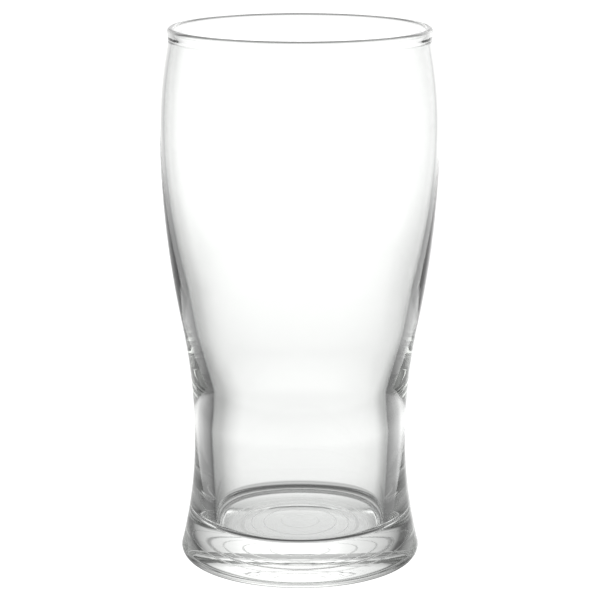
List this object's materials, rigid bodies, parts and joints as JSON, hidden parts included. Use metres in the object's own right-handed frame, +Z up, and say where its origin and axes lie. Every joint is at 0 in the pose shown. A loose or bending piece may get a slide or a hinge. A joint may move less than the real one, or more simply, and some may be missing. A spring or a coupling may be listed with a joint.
{
  "type": "pint glass",
  "caption": "Tulip pint glass in clear glass, with a wide belly, slim waist, thick flared foot and beaded rim.",
  "frame": {"origin": "centre of the resting ring, on the surface the glass stands on", "axes": "+Z up along the glass's axis of revolution, from the foot to the rim; +X and +Y are equal, because the glass is round"},
  "size_m": [0.084, 0.084, 0.1633],
  "materials": {
    "clear_glass": "fire-polished clear soda-lime glass, very slightly grey-green"
  },
  "bodies": {
    "root": {"pint_glass": "clear_glass"}
  },
  "joints": []
}
